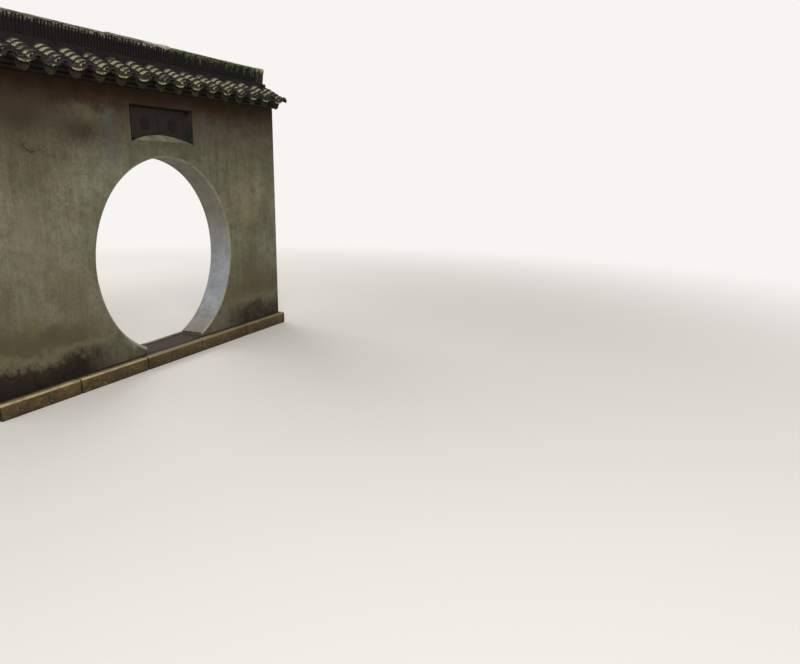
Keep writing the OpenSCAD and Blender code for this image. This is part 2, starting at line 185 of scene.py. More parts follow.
# Washes, clouds and blots: middle x and z, half width and half height, colour and how far it covers
MARKS = (
    (-0.66, 2.46, 0.15, 0.30, "#464646", 0.70), (-0.63, 2.22, 0.09, 0.18, "#57575a", 0.60),
    # The dark brown blots at x -1.00 and -1.62 near z 2.45, at the upper left, are stain and painted shade
    # of the eaves and roof
    (0.77, 2.52, 0.11, 0.26, "#4b4c49", 0.60), (-1.00, 2.41, 0.44, 0.19, "#362b1d", 0.92),
    (-1.62, 2.48, 0.34, 0.17, "#33281b", 0.75), (-0.56, 0.36, 0.16, 0.14, "#8f8d79", 0.75),
    (-0.74, 0.42, 0.08, 0.10, "#4a3f2d", 0.60), (-1.62, 1.45, 0.30, 0.55, "#78745f", 0.35),
    (-1.30, 1.05, 0.35, 0.30, "#645b42", 0.40), (1.50, 1.70, 0.40, 0.60, "#7a7051", 0.40),
    # The dark band just over the gate, at x 0.10 and z 2.34, is stain and painted shade
    (0.10, 2.34, 0.60, 0.09, "#4c473a", 0.50), (1.30, 0.60, 0.40, 0.25, "#5a513b", 0.35),
    (-1.72, 0.72, 0.12, 0.14, "#57552f", 0.45), (-1.50, 0.62, 0.16, 0.10, "#4a3f2b", 0.50),
    (-1.95, 0.95, 0.14, 0.30, "#4b4430", 0.40), (-1.15, 0.88, 0.10, 0.30, "#57533a", 0.40),
    # The brown marks just under the eaves, at z 2.69 to 2.73, are stain and painted shade of the eaves
    (-0.78, 2.73, 0.34, 0.05, "#402918", 0.40), (-1.40, 2.71, 0.28, 0.05, "#3a2618", 0.35),
    (1.00, 2.69, 0.34, 0.05, "#402818", 0.35), (-0.92, 2.58, 0.34, 0.11, "#625e48", 0.42),
)
# Where the coat has cracked and shed a flake: x, z and half width of the dark line
CRACK = (
    (-1.78, 2.322, 0.0), (-1.70, 2.284, 0.004), (-1.63, 2.256, 0.005), (-1.60, 2.234, 0.011),
    (-1.56, 2.206, 0.014), (-1.52, 2.208, 0.006), (-1.49, 2.218, 0.005), (-1.45, 2.226, 0.009),
    (-1.41, 2.214, 0.004), (-1.36, 2.192, 0.004), (-1.33, 2.176, 0.006), (-1.31, 2.161, 0.008),
    (-1.28, 2.140, 0.0),
)
CRACK_WIDEST, CRACK_SOFT_EDGE = 0.02, 0.007


def weathered_plaster(name, marks=(), crack=(), reveal=False, behind_face_painted_light=None):
    """Old trowelled lime plaster, which looks flat, chalky and matt. Reveal adds the washed grey inside the
    opening's edge, with painted shade above and painted bluish skylight below. The last argument is the two
    colours painted on what lies behind the wall's face: painted shade inside a niche, painted light on a
    sill's top."""
    lime = new_material(name, roughness=0.93, specular=0.25)
    place = add(lime, "TexCoord", out="Object")
    x_of, height = (add(lime, "SeparateXYZ", [place], out=axis) for axis in "XZ")
    # Sizes of the noises in millimetres: 600, 140, blots 24, streaks 60, combing 13, mould 80, waves
    # 200 and grit 4. Streaks and combing are drawn out to 18 times that height.
    drawn = add(lime, "Mapping", {"Vector": place, "Scale": (1, 1, 0.055)})
    broad, patchy, fine, streaks, combing, spores, waves, grit = (
        add(lime, "TexNoise", {"Vector": where, "Scale": scale, "Detail": detail, "Roughness": roughness})
        for where, scale, detail, roughness in (
            (place, 1.6, 7, 0.62), (place, 7, 6, 0.7), (place, 42, 7, 0.7), (drawn, 17, 7, 0.65),
            (drawn, 75, 3, 0.5), (place, 12, 8, 0.75), (place, 5, 3, 0.5), (place, 230, 3, 0.5)))

    # Mottles, dark specks and chalky ones, pale streaks and dark ones, and the trowel's combing
    colour = add(lime, "ValToRGB", [broad], stops=[
        (0.36, "#54523f"), (0.48, "#63614c"), (0.64, "#777562")])
    for source, start, end, hue in (
            (patchy, (0.44, 0.0), (0.66, 0.75), "#524d3b"), (fine, (0.34, 0.7), (0.47, 0.0), "#4b4636"),
            (fine, (0.56, 0.0), (0.74, 0.6), "#918d79"), (streaks, (0.54, 0.0), (0.74, 0.32), "#85816c"),
            (streaks, (0.30, 0.34), (0.44, 0.0), "#4d4836"),
            (combing, (0.45, 0.0), (0.66, 0.14), "#8f8a76")):
        cover = add(lime, "ValToRGB", [source], stops=[start, end])
        colour = add(lime, "Mix", {0: cover, 6: colour, 7: hue})

    # The heights of the foot's damp and of the eaves' stain and painted shade wander with the broad and
    # patchy noises
    wander = add(lime, "Math", [patchy, 0.30, height], operation="MULTIPLY_ADD")
    wander = add(lime, "Math", [broad, 0.34, wander], operation="MULTIPLY_ADD")
    foot = add(lime, "MapRange", [wander, 0.44, 1.24])
    tide = add(lime, "Math", [fine, 0.14, foot], operation="MULTIPLY_ADD")
    foot_tone = add(lime, "ValToRGB", [tide], stops=[
        (0.0, "#150d07"), (0.25, "#1b1209"), (0.34, "#2b2115"), (0.41, "#524d37"), (0.48, "#605d46"),
        (0.57, "#504832"), (0.70, "#4c442f"), (1.0, "#645c45")])
    foot_cover = add(lime, "MapRange", [foot, 0.50, 1.05, 0.96, 0.0], interpolation_type="SMOOTHSTEP")
    # The damp keeps to the wall's two ends. Grime and painted shade thin out from the eaves to half
    # height at the left end, and sooner elsewhere.
    damp_left, damp_right, sooner = (add(lime, "MapRange", [x_of, *reach]) for reach in (
        (-1.20, -0.84, 1.0, 0.25), (0.9, 1.4, 0.25, 0.8), (-1.6, -0.9, 0.0, -0.20)))
    damp = add(lime, "Math", [damp_left, damp_right], operation="MAXIMUM")
    foot_cover = add(lime, "Math", [foot_cover, damp], operation="MULTIPLY")
    mould = add(lime, "ValToRGB", [spores], stops=[(0.46, 0.0), (0.58, 0.8)])
    low_down = add(lime, "MapRange", [tide, 0.44, 0.30])
    for share in (low_down, damp):
        mould = add(lime, "Math", [mould, share], operation="MULTIPLY")
    # Painted shade: the upper wall darkens toward the eaves, as grime and as the shade of the eaves and roof
    grime_and_painted_shade = add(lime, "Math", [wander, sooner], operation="ADD")
    grime_and_painted_shade = add(lime, "MapRange", [grime_and_painted_shade, 2.10, 2.86, 0, 0.90])
    # Right under the eaves the dark brown is stain and painted shade of the eaves together
    drips = add(lime, "Math", [streaks, 0.22, wander], operation="MULTIPLY_ADD")
    eaves_stain_and_shade = add(lime, "MapRange", [drips, 2.92, 3.24, 0, 0.90], interpolation_type="SMOOTHSTEP")
    for cover, hue in ((foot_cover, foot_tone), (mould, "#150d07"), (grime_and_painted_shade, "#33281b"), (eaves_stain_and_shade, "#2d1b0f")):
        colour = add(lime, "Mix", {0: cover, 6: colour, 7: hue})

    for x, z, half_x, half_z, hue, strength in marks:
        local = add(lime, "Mapping", {"Vector": place, "Location": (-x / half_x, 0, -z / half_z),
                                      "Scale": (1 / half_x, 0, 1 / half_z)})
        reach = add(lime, "VectorMath", [local], out="Value", operation="LENGTH")
        for source, share in ((patchy, 1.9), (fine, 0.8)):
            reach = add(lime, "Math", [source, share, reach], operation="MULTIPLY_ADD")
        cover = add(lime, "MapRange", [reach, 2.40, 1.35, 0.0, strength], interpolation_type="SMOOTHSTEP")
        colour = add(lime, "Mix", {0: cover, 6: colour, 7: hue})

    if crack:
        (x0, z0), (x1, z1) = crack[0][:2], crack[-1][:2]
        run = add(lime, "MapRange", [x_of, x0, x1])
        course = add(lime, "ValToRGB", [run], stops=[
            ((x - x0) / (x1 - x0), (z - z1) / (z0 - z1)) for x, z, half in crack])
        course = add(lime, "MapRange", {"Value": course, "To Min": z1, "To Max": z0})
        half_width = add(lime, "ValToRGB", [run], stops=[
            ((x - x0) / (x1 - x0), half / CRACK_WIDEST) for x, z, half in crack])
        ragged = add(lime, "Math", [fine, 0.06, height], operation="MULTIPLY_ADD")
        off = add(lime, "Math", [ragged, course], operation="SUBTRACT")
        off = add(lime, "Math", [off, 0.03], operation="SUBTRACT")
        off = add(lime, "Math", [off], operation="ABSOLUTE")
        off = add(lime, "Math", [half_width, -CRACK_WIDEST, off], operation="MULTIPLY_ADD")
        cover = add(lime, "MapRange", [off, 0.0, -CRACK_SOFT_EDGE, 0, 0.85])
        colour = add(lime, "Mix", {0: cover, 6: colour, 7: "#251e14"})

    if reveal:
        # The inside is washed grey, painted darker above as shade and paler and bluish below as skylight,
        # with smears, and scuffed near the ground
        centred = add(lime, "Mapping", {
            "Vector": place, "Location": (-gate_x, 0, -gate_z), "Scale": (1, 0, 1)})
        radius = add(lime, "VectorMath", [centred], out="Value", operation="LENGTH")
        washed = add(lime, "ValToRGB", [patchy], stops=[(0.34, "#6b695c"), (0.66, "#86847a")])
        lower = add(lime, "ValToRGB", [patchy], stops=[(0.34, "#868a90"), (0.66, "#a3a7ab")])
        painted_skylight_below = add(lime, "MapRange", [wander, 2.0, 1.1], interpolation_type="SMOOTHSTEP")
        smeared = add(lime, "ValToRGB", [fine], stops=[(0.35, 0.45), (0.50, 0.0)])
        scuffed = add(lime, "MapRange", [wander, 0.80, 0.52, 0, 0.8], interpolation_type="SMOOTHSTEP")
        for cover, hue in ((painted_skylight_below, lower), (smeared, "#6f6d64"), (scuffed, "#7b776a")):
            washed = add(lime, "Mix", {0: cover, 6: washed, 7: hue})
        outward = add(lime, "Math", [add(lime, "SeparateXYZ", [place], out="Y")], operation="ABSOLUTE")
        inside, arris, near_face = (add(lime, "MapRange", reach) for reach in (
            (radius, gate_r + 0.008, gate_r + 0.002), (radius, gate_r + 0.024, gate_r + 0.012),
            (outward, face_y - 0.022, face_y - 0.012)))
        # The arris is chipped in patches, and more where feet and hands rub it
        chipped = add(lime, "ValToRGB", [patchy], stops=[(0.38, 0.05), (0.60, 0.60)])
        rubbed = add(lime, "MapRange", [height, 0.75, 0.40, 0, 0.55])
        chipped = add(lime, "Math", [chipped, rubbed], operation="ADD", use_clamp=True)
        for share in (near_face, chipped):
            arris = add(lime, "Math", [arris, share], operation="MULTIPLY")
        for cover, hue in ((inside, washed), (arris, "#9a9783")):
            colour = add(lime, "Mix", {0: cover, 6: colour, 7: hue})
    if behind_face_painted_light:
        # Painted light: what lies behind the face takes its own two colours, dark as shade in the niche and
        # pale as a lit top on the sill
        painted_light_behind = add(lime, "ValToRGB", [patchy], stops=[(0.38, behind_face_painted_light[0]), (0.62, behind_face_painted_light[1])])
        y_of = add(lime, "SeparateXYZ", [place], out="Y")
        inside = add(lime, "MapRange", [y_of, 0.003 - face_y, 0.009 - face_y])
        colour = add(lime, "Mix", {0: inside, 6: colour, 7: painted_light_behind})
    lime.node_tree.links.new(colour, lime.node_tree.nodes["Principled BSDF"].inputs["Base Color"])

    rough = add(lime, "Math", [grit, 0.25], operation="MULTIPLY")
    for source, share in ((combing, 0.3), (fine, 0.55)):
        rough = add(lime, "Math", [source, share, rough], operation="MULTIPLY_ADD")
    waved = add(lime, "Bump", {"Height": waves, "Distance": 0.02, "Strength": 0.5})
    add(lime, "Bump", {"Height": rough, "Distance": 0.006, "Strength": 0.7, "Normal": waved}, to="Normal")
    return lime


def cad_copy(node):
    """The shape of a CAD node, with its doubles merged and its flat faces made whole."""
    bm = bmesh.new()
    bm.from_mesh(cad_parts[node].data)
    bmesh.ops.remove_doubles(bm, verts=bm.verts, dist=1e-5)
    bmesh.ops.dissolve_limit(bm, angle_limit=math.radians(1), verts=bm.verts, edges=bm.edges)
    return bm


def soften(bm, offset, segments=2, angle=35, keep=None):
    """Rounds every edge that is sharper than an angle, or those of them that keep lets through."""
    bm.normal_update()
    edges = [e for e in bm.edges if len(e.link_faces) == 2 and e.calc_face_angle() > math.radians(angle)
             and (keep is None or keep(e))]
    bmesh.ops.bevel(bm, geom=edges, offset=offset, affect="EDGES", segments=segments, profile=0.5,
                    material=-1, clamp_overlap=True)


def finish_piece(name, bm, material, node, angle=32):
    """Turns a shape into a finished piece that stands for a CAD node. Edges past the angle stay sharp."""
    bmesh.ops.recalc_face_normals(bm, faces=bm.faces)
    mesh = bpy.data.meshes.new(name)
    bm.to_mesh(mesh)
    bm.free()
    mesh.shade_smooth()
    mesh.set_sharp_from_angle(angle=math.radians(angle))
    mesh.materials.append(material)
    piece = bpy.data.objects.new(name, mesh)
    bpy.context.scene.collection.objects.link(piece)
    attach(piece, "root")
    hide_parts(node)


face_plaster = weathered_plaster("trowelled_lime_plaster_face", MARKS, CRACK)
plain_plaster = weathered_plaster("trowelled_lime_plaster")
for node, plaster in (("front_plaster", face_plaster), ("back_plaster", plain_plaster)):
    coat = cad_copy(node)
    soften(coat, PLASTER_ROUNDING, 3, keep=lambda e: all(
        abs(abs(v.co.x) - half_len) < 1e-4 for v in e.verts))
    finish_piece(node + "_coat", coat, plaster, node)
for node in ("left_end_plaster", "right_end_plaster"):
    finish_piece(node + "_coat", cad_copy(node), plain_plaster, node)


# Reveal of the opening: the same plaster drawn round with a template and washed paler inside,
# its outer edges worn round and its two feet cut off upright, the left one built up thicker.
LINING_ARRIS, LINING_CUTS, LINING_STEPS, TROWEL_WAVE = 0.018, 6, 176, 0.0018
TROWEL_HOLLOW = 0.0015
FOOT_LEFT, FOOT_RIGHT = math.radians(247), math.radians(-70)
TIP_LEFT, TIP_RIGHT, TIP_BULGE, BULGE_START, BULGE_REACH = 0.480, 0.434, 0.014, 0.62, 0.27


def held(value):
    """A value held between 0 and 1."""
    return min(1, max(0, value))


lining = bmesh.new()
bmesh.ops.create_grid(lining, x_segments=1, y_segments=1, size=0.5)
bmesh.ops.scale(lining, vec=(LINING_T, face_y * 2, 1), verts=lining.verts)
lining_sides = [e for e in lining.edges if abs(e.verts[0].co.x - e.verts[1].co.x) < 1e-6]
bmesh.ops.subdivide_edges(lining, edges=lining_sides, cuts=LINING_CUTS, use_grid_fill=True)
bmesh.ops.translate(lining, vec=(gate_r + LINING_T / 2, 0, 0), verts=lining.verts)
bmesh.ops.rotate(lining, cent=(0, 0, 0), matrix=Matrix.Rotation(-FOOT_RIGHT, 3, "Y"), verts=lining.verts)
bmesh.ops.spin(lining, geom=lining.verts[:] + lining.edges[:] + lining.faces[:], cent=(0, 0, 0),
               axis=(0, -1, 0), angle=FOOT_LEFT - FOOT_RIGHT, steps=LINING_STEPS)
bmesh.ops.remove_doubles(lining, verts=lining.verts, dist=1e-5)
inner_edges = [e for e in lining.edges if len(e.link_faces) == 2 and all(
    abs(v.co.xz.length - gate_r) < 1e-4 and abs(abs(v.co.y) - face_y) < 1e-5 for v in e.verts)]
bmesh.ops.bevel(lining, geom=inner_edges, offset=LINING_ARRIS, affect="EDGES", segments=5, profile=0.5,
                material=-1)
for side, tip in ((-1, TIP_LEFT), (1, TIP_RIGHT)):
    foot = [v for v in lining.verts if v.co.z < -0.5 and v.co.x * side > 0]
    foot_faces = [f for f in lining.faces if all(v in foot for v in f.verts)]
    foot_edges = list({e for f in foot_faces for e in f.edges})
    bmesh.ops.bisect_plane(lining, geom=foot + foot_edges + foot_faces, dist=1e-6,
                           plane_co=(side * tip, 0, 0), plane_no=(-side, 0, 0), clear_outer=True)
    bmesh.ops.holes_fill(lining, edges=[e for e in lining.edges if e.is_boundary], sides=0)
for v in lining.verts:
    reach = v.co.xz.length
    if reach < gate_r + LINING_T - 0.002:
        away = Vector((v.co.x, 0, v.co.z)) / reach
        foot = held((-v.co.z / gate_r - BULGE_START) / BULGE_REACH) if v.co.x < 0 else 0
        trowel = TROWEL_WAVE * noise.fractal(v.co * 3.5, 0.8, 2.0, 3)
        v.co += away * (max(trowel, -TROWEL_HOLLOW) - TIP_BULGE * foot * foot)
bmesh.ops.translate(lining, vec=(gate_x, 0, gate_z), verts=lining.verts)
reveal_plaster = weathered_plaster("washed_lime_plaster_reveal", MARKS, reveal=True)
finish_piece("opening_reveal", lining, reveal_plaster, "opening_lining", 40)


# Wall core: grey bricks laid in lime mortar. Only the three courses at the foot of both ends
# show, because the plaster covers the rest, so only those are laid brick by brick.
CORE_COURSES, CORE_JOINT, CORE_RECESS, CORE_BITE, CORE_ARRIS = 3, 0.009, 0.006, 0.07, 0.0025
# Brick fired without air is an even, dull grey, and the lime in its joints is paler and warmer
core_brick = new_material("grey_clay_brick_in_lime_mortar", roughness=0.94)
core_place = add(core_brick, "TexCoord", out="Object")
core_fine = add(core_brick, "TexNoise", {"Vector": core_place, "Scale": 70, "Detail": 7})
# Fired is 0 on the mortar, and from 0.4 to 1 on the bricks
core_fired = add(core_brick, "Attribute", out="Fac", attribute_name="fired")
core_tone = add(core_brick, "ValToRGB", [core_fired], stops=[
    (0.0, "#7a735f"), (1.0, "#6a675e"), (0.3, "#7a735f"), (0.4, "#4c4b47")])
core_dirt = add(core_brick, "ValToRGB", [core_fine], stops=[(0.4, 0.6), (0.62, 0.0)])
add(core_brick, "Mix", {0: core_dirt, 6: core_tone, 7: "#3c3629"}, to="Base Color")
add(core_brick, "Bump", {"Height": core_fine, "Distance": 0.004}, to="Normal")
bond_low, bond_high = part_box("threshold_stone")
course = bond_high.z / CORE_COURSES
random.seed(5)
for node, side in (("brick_wall_left", -1), ("brick_wall_right", 1)):
    core = cad_copy(node)
    for v in core.verts:
        if v.co.x * side > half_len - 1e-4:
            v.co.x -= side * CORE_RECESS
    fired = core.verts.layers.float.new("fired")
    for row in range(CORE_COURSES):
        cuts = (bond_low.y, 0, bond_high.y) if row % 2 else (
            bond_low.y, bond_low.y / 2, bond_high.y / 2, bond_high.y)
        for y0, y1 in zip(cuts, cuts[1:]):
            brick = bmesh.ops.create_cube(core, size=1)["verts"]
            bmesh.ops.scale(core, verts=brick, vec=(CORE_BITE, y1 - y0 - CORE_JOINT, course - CORE_JOINT))
            x = side * (half_len - CORE_BITE / 2 - random.uniform(0, 0.002))
            bmesh.ops.translate(core, verts=brick, vec=(x, (y0 + y1) / 2, (row + 0.5) * course))
            shade = random.uniform(0.4, 1)
            for v in brick:
                v[fired] = shade
            bmesh.ops.bevel(core, geom=list({e for v in brick for e in v.link_edges}), offset=CORE_ARRIS,
                            affect="EDGES", segments=2, profile=0.5, material=-1)
    finish_piece(node + "_bricks", core, core_brick, node)
# The core over the gate is out of sight and keeps its CAD shape
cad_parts["brick_wall_over_gate"].data.materials[0] = core_brick


# Kerb stones and threshold: granular brown stone, dressed flat. The kerb's outer top edge is
# worn round and pale, painted paler still left of the gate as sunlight, and dirt lies against the wall.
# The threshold is trodden hollow, and painted dark as shade under the gate.
KERB_HEIGHT, KERB_ROUNDING, KERB_WEAR, KERB_TREAD = 0.145, 0.010, 0.005, 0.006
THRESHOLD_TREAD, THRESHOLD_PITS, TREAD_REACH = 0.009, 0.0015, 0.45


def dressed_stone(name, base, light, dark, edge=None):
    """Granular stone, or rubbed brick, which looks dull and speckled. Edge is how far out a kerb's outer
    side lies, and adds stains, a pale arris there, worn and painted sunlit left of the gate, and dirt on top
    against the wall."""
    stone = new_material(name, roughness=0.9, specular=0.3)
    place = add(stone, "TexCoord", out="Object")
    # Patches are about 300 mm across. Real grains and pits are 1 to 4 mm, too fine to show at this
    # distance, so they are drawn at 19 and 12 mm.
    broad = add(stone, "TexNoise", {"Vector": place, "Scale": 3.2, "Detail": 6, "Roughness": 0.65})
    grain = add(stone, "TexNoise", {"Vector": place, "Scale": 52, "Detail": 6, "Roughness": 0.78})
    pits = add(stone, "TexVoronoi", {"Vector": place, "Scale": 85})
    tone = add(stone, "ValToRGB", [broad], stops=[(0.35, dark), (0.50, base), (0.70, light)])
    grains = add(stone, "ValToRGB", [grain], stops=[(0.42, "#1b130a"), (0.51, base), (0.63, light)])
    colour = add(stone, "Mix", {0: 0.65, 6: tone, 7: grains}, to="Base Color")
    if edge:
        x_of, y_of, height = (add(stone, "SeparateXYZ", [place], out=axis) for axis in "XYZ")
        stains = add(stone, "TexNoise", {"Vector": place, "Scale": 9, "Detail": 7, "Roughness": 0.7})
        low_down = add(stone, "Math", [height, -1.6, stains], operation="MULTIPLY_ADD")
        stained = add(stone, "MapRange", [low_down, 0.32, 0.50, 0, 0.6])
        bleached = add(stone, "ValToRGB", [stains], stops=[(0.56, 0.0), (0.70, 0.5)])
        wander = add(stone, "Math", [y_of], operation="ABSOLUTE")
        for source, share in ((broad, 0.05), (grain, 0.03)):
            wander = add(stone, "Math", [source, share, wander], operation="MULTIPLY_ADD")
        # Painted sunlight: the pale arris is full left of the gate and fades to a fifth beside and right of
        # it, over real wear
        top, dirt, worn_and_sunlit, painted_sun_left_of_gate = (add(stone, "MapRange", reach) for reach in (
            (height, KERB_HEIGHT - 0.022, KERB_HEIGHT - 0.012), (wander, edge - 0.004, edge - 0.026),
            (wander, edge + 0.018, edge + 0.026), (x_of, gate_x - 0.50, gate_x - 0.60, 0.2, 0.95)))
        dusty = add(stone, "Math", [top, 0.60], operation="MULTIPLY")
        dirt = add(stone, "Math", [dirt, top], operation="MULTIPLY")
        rubbed = add(stone, "ValToRGB", [stains], stops=[(0.38, 0.25), (0.54, 1.0)])
        for share in (top, rubbed, painted_sun_left_of_gate):
            worn_and_sunlit = add(stone, "Math", [worn_and_sunlit, share], operation="MULTIPLY")
        joint = add(stone, "Attribute", out="Fac", attribute_name="joint")
        for cover, hue in ((stained, "#2c2111"), (bleached, "#8c7b50"), (dusty, "#8a7f5e"),
                           (dirt, "#201a11"), (worn_and_sunlit, "#b5a87c"), (joint, "#191208")):
            colour = add(stone, "Mix", {0: cover, 6: colour, 7: hue}, to="Base Color")
    grained = add(stone, "Bump", {"Height": grain, "Distance": 0.006, "Strength": 0.9})
    add(stone, "Bump", {"Height": pits, "Distance": 0.003, "Strength": 0.6, "Normal": grained}, to="Normal")
    return stone


def slice_up(bm, node, steps):
    """Cuts a node's shape along x, y and z into lengths no longer than its steps; 0 leaves an axis uncut."""
    low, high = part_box(node)
    for axis in range(3):
        if not steps[axis]:
            continue
        count = max(1, round((high[axis] - low[axis]) / steps[axis]))
        normal = Vector([1 if i == axis else 0 for i in range(3)])
        for i in range(1, count):
            middle = low.copy()
            middle[axis] = low[axis] + (high[axis] - low[axis]) * i / count
            bmesh.ops.bisect_plane(bm, geom=bm.verts[:] + bm.edges[:] + bm.faces[:], dist=1e-6,
                                   plane_co=middle, plane_no=normal)


def wear(bm, node, depth, scale):
    """Moves a shape's skin inward unevenly. Its two ends keep their place along the wall, and what
    stands on the ground stays there."""
    low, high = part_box(node)
    bm.normal_update()
    for v in bm.verts:
        if v.co.z > 0.002:
            end = min(v.co.x - low.x, high.x - v.co.x) < 1e-5
            inward = Vector((0 if end else v.normal.x, v.normal.y, v.normal.z))
            v.co -= inward * depth * (0.5 + 0.5 * noise.fractal(v.co * scale, 0.8, 2.0, 3))


def eased(value):
    """A value held between 0 and 1 that leaves both smoothly."""
    value = held(value)
    return value * value * (3 - 2 * value)


def trodden(x, depth):
    """How far feet have worn a stone down at a place along the wall."""
    return depth * eased(1 - abs(x - gate_x) / TREAD_REACH)


kerb_stone = dressed_stone("granular_dressed_kerb_stone", "#503f25", "#7b6940", "#2e2212",
                           edge=-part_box("front_kerb_1")[0].y)
for node in [f"front_kerb_{i}" for i in range(1, 6)] + ["back_kerb_stones"]:
    stone = cad_copy(node)
    ends = sorted({round(v.co.x, 4) for v in stone.verts})
    soften(stone, KERB_ROUNDING, 3)
    joint = stone.verts.layers.float.new("joint")
    for v in stone.verts:
        v[joint] = min(abs(v.co.x - x) for x in ends) < 1e-4
    slice_up(stone, node, (0.04, 0.03, 0.03))
    wear(stone, node, KERB_WEAR, 9)
    for v in stone.verts:
        if v.co.z > KERB_HEIGHT * 0.6:
            v.co.z -= trodden(v.co.x, KERB_TREAD)
    finish_piece(node.replace("front_", "") + "_dressed", stone, kerb_stone, node, 50)

# The threshold's dark tones are painted shade under the gate, over the stone's own brown
threshold_stone = dressed_stone("tooled_threshold_stone", "#332920", "#463a2d", "#221a14")
slab = cad_copy("threshold_stone")
slice_up(slab, "threshold_stone", (0.03, 0.03, 0))
for v in slab.verts:
    if v.co.z > bond_high.z - 0.001:
        v.co.z -= trodden(v.co.x, THRESHOLD_TREAD) + THRESHOLD_PITS * (1 + noise.noise(v.co * 8))
finish_piece("threshold_slab", slab, threshold_stone, "threshold_stone", 50)


# Plaque: a plastered niche over the opening with a pale sill on the brick ring, and two square
# bricks rubbed smooth and carved with a raised border and a plain flower.
NICHE_T, NICHE_ROUNDING, SILL_ROUNDING, BRICK_ROUNDING = 0.012, 0.005, 0.003, 0.003
PLAQUE_BORDER, BORDER_SLOPE, PLAQUE_FIELD, ROSETTE_R = 0.018, 0.004, 0.006, 0.074
PETAL_CLOSE, PETAL_LONG, PETAL_WIDE, PETAL_RISE, HEART = 0.86, 1.05, 0.80, 0.004, 0.24
niche_low, niche_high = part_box("niche_lining")
# The niche's inside is painted nearly black: painted shade
niche_plaster = weathered_plaster("niche_plaster_with_painted_shade", MARKS, behind_face_painted_light=("#191710", "#34342a"))
tray = cad_copy("niche_lining")
soften(tray, NICHE_ROUNDING, 3, keep=lambda e: all(
    v.co.y < niche_low.y + 1e-4 and niche_low.x + NICHE_T / 2 < v.co.x < niche_high.x - NICHE_T / 2
    and niche_low.z + NICHE_T / 2 < v.co.z < niche_high.z - NICHE_T / 2 for v in e.verts)
    and max(v.co.z for v in e.verts) > niche_low.z + NICHE_T * 2)
finish_piece("niche_tray", tray, niche_plaster, "niche_lining")

# The sill's top behind the face is painted pale: painted light on a surface that faces up
sill_plaster = weathered_plaster("sill_plaster_with_painted_light", MARKS, behind_face_painted_light=("#565343", "#7d7a66"))
sill = cad_copy("plaque_sill")
soften(sill, SILL_ROUNDING, angle=50)
finish_piece("plaque_sill_plaster", sill, sill_plaster, "plaque_sill")


def shown(material):
    """The output that now gives a material its colour."""
    return material.node_tree.nodes["Principled BSDF"].inputs["Base Color"].links[0].from_socket


# The bricks' near-black brown is painted shade of the niche over their own grey-brown, and their sunk field
# is painted darker still as shade in the recess
plaque_brick = dressed_stone("rubbed_carved_grey_brick", "#261e19", "#312822", "#18120f")
brick_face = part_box("plaque_brick_left")[0].y
brick_y = add(plaque_brick, "SeparateXYZ", [add(plaque_brick, "TexCoord", out="Object")], out="Y")
brick_sunk_shade = add(plaque_brick, "MapRange", [brick_y, brick_face + 0.001, brick_face + 0.007, 0, 0.55])
brick_carved = add(plaque_brick, "Attribute", out="Fac", attribute_name="carved")
for cover, hue in ((brick_sunk_shade, "#1b1410"), (brick_carved, "#0d0907")):
    add(plaque_brick, "Mix", {0: cover, 6: shown(plaque_brick), 7: hue}, to="Base Color")
for node, petals in (("plaque_brick_left", 5), ("plaque_brick_right", 6)):
    low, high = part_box(node)
    middle = (low + high) / 2
    brick = bmesh.new()
    bmesh.ops.create_cube(brick, size=1)
    bmesh.ops.scale(brick, vec=high - low, verts=brick.verts)
    bmesh.ops.translate(brick, vec=middle, verts=brick.verts)
    soften(brick, BRICK_ROUNDING)
    brick.normal_update()
    front = [f for f in brick.faces if f.normal.y < -0.99]
    bmesh.ops.inset_region(brick, faces=front, thickness=PLAQUE_BORDER, depth=0)
    bmesh.ops.inset_region(brick, faces=front, thickness=BORDER_SLOPE, depth=-PLAQUE_FIELD - 0.002)
    carved = brick.verts.layers.float.new("carved")
    petal_r = ROSETTE_R * math.sin(math.pi / petals) * PETAL_CLOSE
    for i in range(petals + 1):
        turn = math.radians(90) + i * math.tau / petals
        way, size = (ROSETTE_R - petal_r, petal_r) if i < petals else (0, ROSETTE_R * HEART)
        dome = bmesh.ops.create_uvsphere(brick, u_segments=16, v_segments=10, radius=1)["verts"]
        for v in dome:
            v[carved] = 1
        petal = (size * PETAL_LONG, PLAQUE_FIELD + PETAL_RISE, size * PETAL_WIDE)
        bmesh.ops.scale(brick, vec=petal, verts=dome)
        bmesh.ops.rotate(brick, cent=(0, 0, 0), matrix=Matrix.Rotation(-turn, 3, "Y"), verts=dome)
        bmesh.ops.translate(brick, verts=dome, vec=(
            middle.x + way * math.cos(turn), low.y + PLAQUE_FIELD, middle.z + way * math.sin(turn)))
    finish_piece(node.replace("brick", "carving"), brick, plaque_brick, node)


# Corbels, roof bed and verges: run plaster mouldings and lime mortar, in the shade of the
# eaves, stained dark brown by water off the tiles, the corbels painted darker still as that shade.
def stained_mortar(name, base, dark, light, scale=9, relief_m=0.006):
    """Lime mortar, run plaster or moulded clay, rough and matt: three tones, and the patches' scale. Its
    sand is drawn at 12 mm, coarser than it is, so that it shows."""
    mortar = new_material(name, roughness=0.94, specular=0.25)
    place = add(mortar, "TexCoord", out="Object")
    broad = add(mortar, "TexNoise", {"Vector": place, "Scale": scale, "Detail": 7, "Roughness": 0.68})
    fine = add(mortar, "TexNoise", {"Vector": place, "Scale": 85, "Detail": 6, "Roughness": 0.7})
    tone = add(mortar, "ValToRGB", [broad], stops=[(0.36, dark), (0.66, light), (0.50, base)])
    specks = add(mortar, "ValToRGB", [fine], stops=[(0.36, 0.6), (0.52, 0.0)])
    add(mortar, "Mix", {0: specks, 6: tone, 7: dark}, to="Base Color")
    uneven = add(mortar, "Bump", {"Height": broad, "Distance": relief_m * 2, "Strength": 0.6})
    add(mortar, "Bump", {"Height": fine, "Distance": relief_m, "Strength": 0.8, "Normal": uneven},
        to="Normal")
    return mortar


